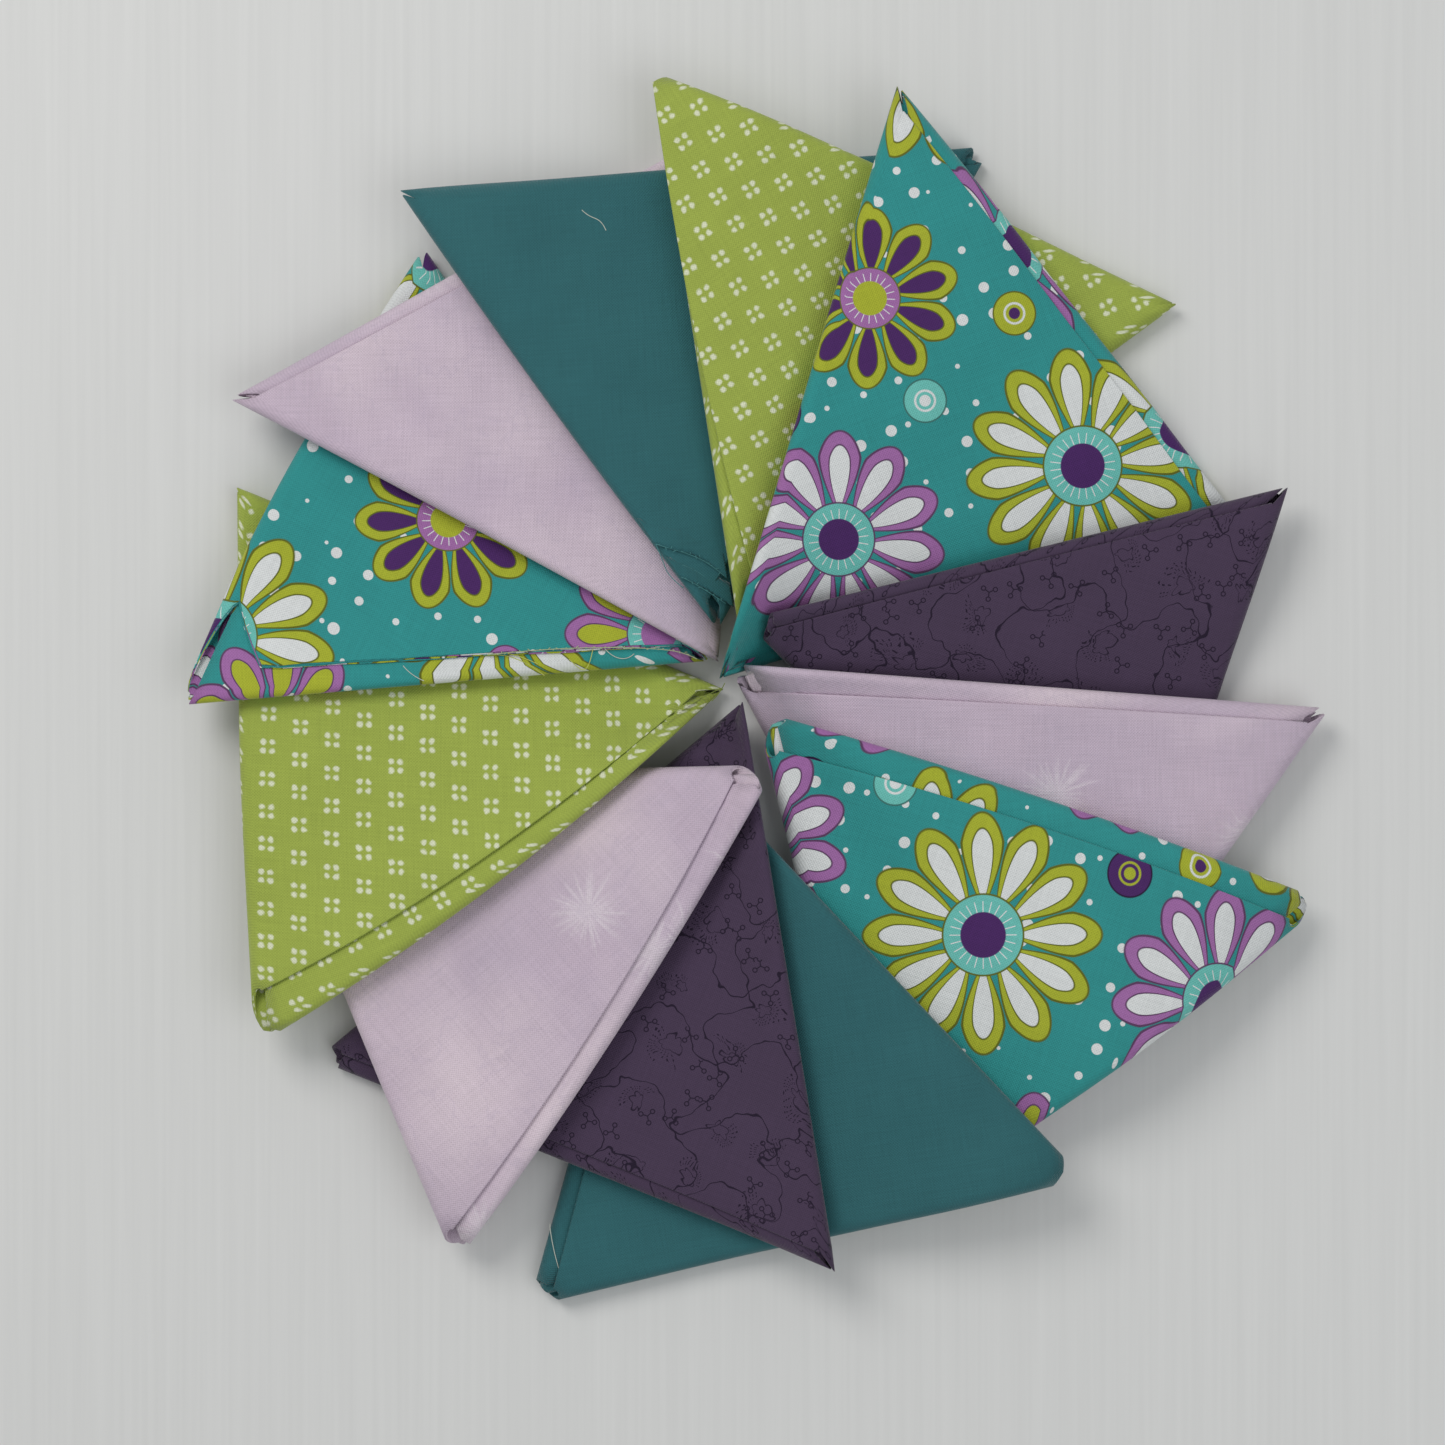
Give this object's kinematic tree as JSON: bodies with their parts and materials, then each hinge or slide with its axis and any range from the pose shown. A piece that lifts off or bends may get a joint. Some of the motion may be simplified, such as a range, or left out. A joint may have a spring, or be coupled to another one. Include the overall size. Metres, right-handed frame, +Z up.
{
  "type": "fat quarter bundle",
  "caption": "Bundle of quilting cotton fat quarters, each flag-folded into a flat triangle, fanned in a ring with their tips at the middle.",
  "frame": {"origin": "middle of the ring's plan box, on the surface that it lies on", "axes": "+Z up, through the thin way of the flat ring; +Y towards the top of the picture; +X to its right"},
  "size_m": [0.3317, 0.3552, 0.0347],
  "materials": {
    "green_dots": "printed plain-weave quilting cotton, matt",
    "flower_print": "printed plain-weave quilting cotton, matt",
    "purple_print": "printed plain-weave quilting cotton, matt",
    "lavender_mottle": "mottled plain-weave quilting cotton, matt",
    "solid_teal": "solid-dyed plain-weave quilting cotton, matt"
  },
  "bodies": {
    "root": {"packet_01_green": "green_dots", "packet_02_flower": "flower_print", "packet_03_purple": "purple_print", "packet_04_lavender": "lavender_mottle", "packet_05_flower": "flower_print", "packet_06_teal": "solid_teal", "packet_07_purple": "purple_print", "packet_08_lavender": "lavender_mottle", "packet_09_green": "green_dots", "packet_10_flower": "flower_print", "packet_11_lavender": "lavender_mottle", "packet_12_teal": "solid_teal"}
  },
  "joints": []
}
